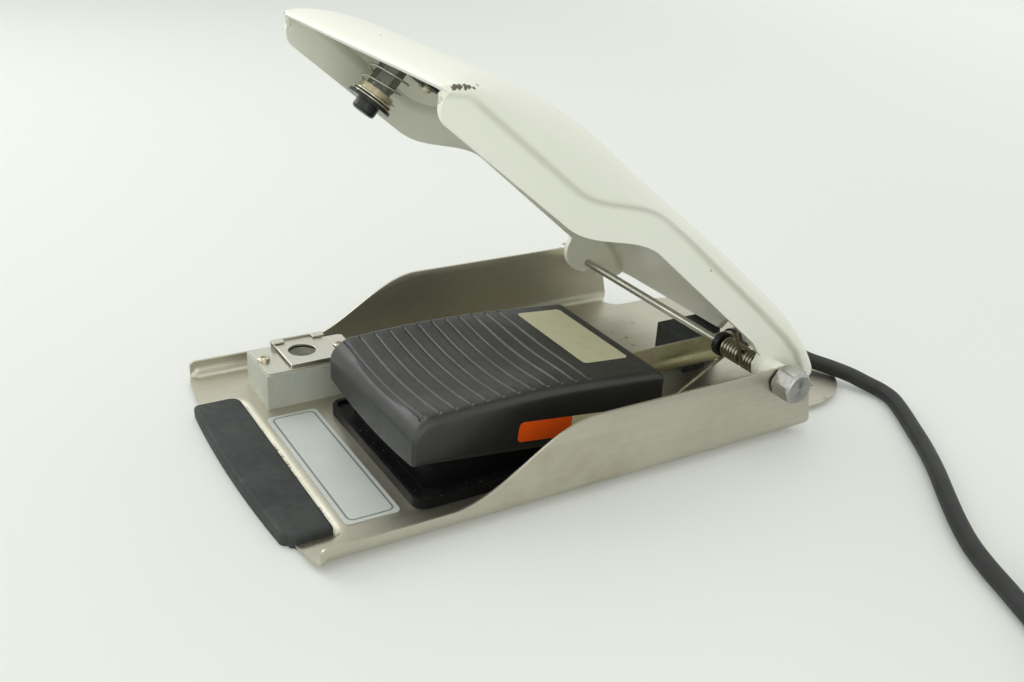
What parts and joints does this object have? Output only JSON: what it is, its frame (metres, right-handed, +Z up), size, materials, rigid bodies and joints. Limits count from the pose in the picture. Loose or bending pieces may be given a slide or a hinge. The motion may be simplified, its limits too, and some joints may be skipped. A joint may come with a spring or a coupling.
{
  "type": "guarded foot switch",
  "caption": "Foot switch in a steel tray, with a sprung hinged guard cover that latches shut over the ribbed pedal, and a round lead ending in a plug.",
  "frame": {"origin": "centre of the tray's outline on the surface that it stands on, without the lead", "axes": "+X to the side away from the latch, +Y toward the hinge and lead, +Z up; cover open on its stop"},
  "size_m": [0.4536, 0.3229, 0.1781],
  "materials": {
    "tray_steel": "satin stainless sheet, lightly stained",
    "foot_rubber": "plain black rubber",
    "bumper_rubber": "dull black rubber",
    "plate_alloy": "satin, bare, thin dark border line",
    "block_alloy": "light satin grey, small edge radii",
    "latch_sheet": "pressed sheet, satin",
    "nickel": "nickel plated",
    "pin_steel": "drawn steel, faint wear rings",
    "cap_steel": "satin flats, turned end face",
    "black_plastic": "black plastic",
    "spring_steel": "dark oiled spring wire",
    "switch_plastic": "charcoal, finely textured, dusty recess",
    "inner_plastic": "black plastic",
    "button_plastic": "red-brown plastic",
    "orange_label": "bare orange film",
    "pedal_plastic": "charcoal, finely textured, lighter on its rounded edges",
    "cream_label": "bare cream film",
    "zinc_gold": "yellow zinc plated steel tube",
    "lead_jacket": "matt black jacket",
    "cover_enamel": "cast shell in ivory enamel, a few chips",
    "post_steel": "blackened steel",
    "spring_bright": "bright spring wire",
    "tip_plastic": "black, semi-gloss",
    "tie_fabric": "black hook and loop strap",
    "pin_gold": "gold plated"
  },
  "bodies": {
    "base": {"tray": "tray_steel", "feet": "foot_rubber", "front_bumper": "bumper_rubber", "name_plate": "plate_alloy", "latch_block": "block_alloy", "latch_guide": "latch_sheet", "latch_slide": "latch_sheet", "latch_screws": "nickel", "hinge_pin": "pin_steel", "hinge_caps": "cap_steel", "hinge_washers": "black_plastic", "hinge_spacers": "black_plastic", "retaining_ring": "black_plastic", "spring_tray_end": "spring_steel", "stop_block": "bumper_rubber", "switch_base": "switch_plastic", "pedal_pin": "pin_steel", "pedal_spring": "spring_steel", "microswitch": "inner_plastic", "conduit_tube": "zinc_gold", "gland_body": "black_plastic", "gland_nut": "black_plastic", "inner_lead": "lead_jacket", "cord": "lead_jacket", "cord_coil": "lead_jacket", "coil_tie": "tie_fabric", "connector_boot": "foot_rubber", "connector_body": "nickel", "connector_ring": "nickel", "connector_pins": "pin_gold"},
    "cover": {"cover": "cover_enamel", "spring_cover_end": "spring_steel", "catch_base": "black_plastic", "catch_screws": "nickel", "catch_post": "post_steel", "catch_spring": "spring_bright"},
    "catch": {"catch_tip": "tip_plastic", "catch_washers": "nickel", "catch_seal": "foot_rubber", "catch_collar": "zinc_gold"},
    "pedal": {"switch_pedal": "pedal_plastic", "rating_label": "cream_label", "side_label": "orange_label"},
    "button": {"microswitch_button": "button_plastic"}
  },
  "joints": [
    {"name": "cover_hinge", "type": "hinge", "parent": "base", "child": "cover", "pos_m": [0, 0.0766, 0.033], "axis": [1, 0, 0], "range_deg": [0, 39.2], "stiffness_Nm_per_rad": 0.6, "springref_deg": -68.75},
    {"name": "pedal_pivot", "type": "hinge", "parent": "base", "child": "pedal", "pos_m": [0.022, 0.012, 0.0295], "axis": [1, 0, 0], "range_deg": [0, 3], "stiffness_Nm_per_rad": 15, "springref_deg": -3.44, "deforming": ["pedal_spring"]},
    {"name": "catch_slide", "type": "slide", "parent": "cover", "child": "catch", "axis": [0, 0.632, 0.7749], "range_m": [0, 0.003], "stiffness_N_per_m": 600, "springref_m": -0.004, "deforming": ["catch_spring"]},
    {"name": "button_press", "type": "slide", "parent": "base", "child": "button", "axis": [0, 0, -1], "range_m": [0, 0.0029], "stiffness_N_per_m": 150, "springref_m": -0.002}
  ],
  "couplings": [
    {"joint": "button_press", "follows": "pedal_pivot", "m_per_rad": 0.05505}
  ]
}
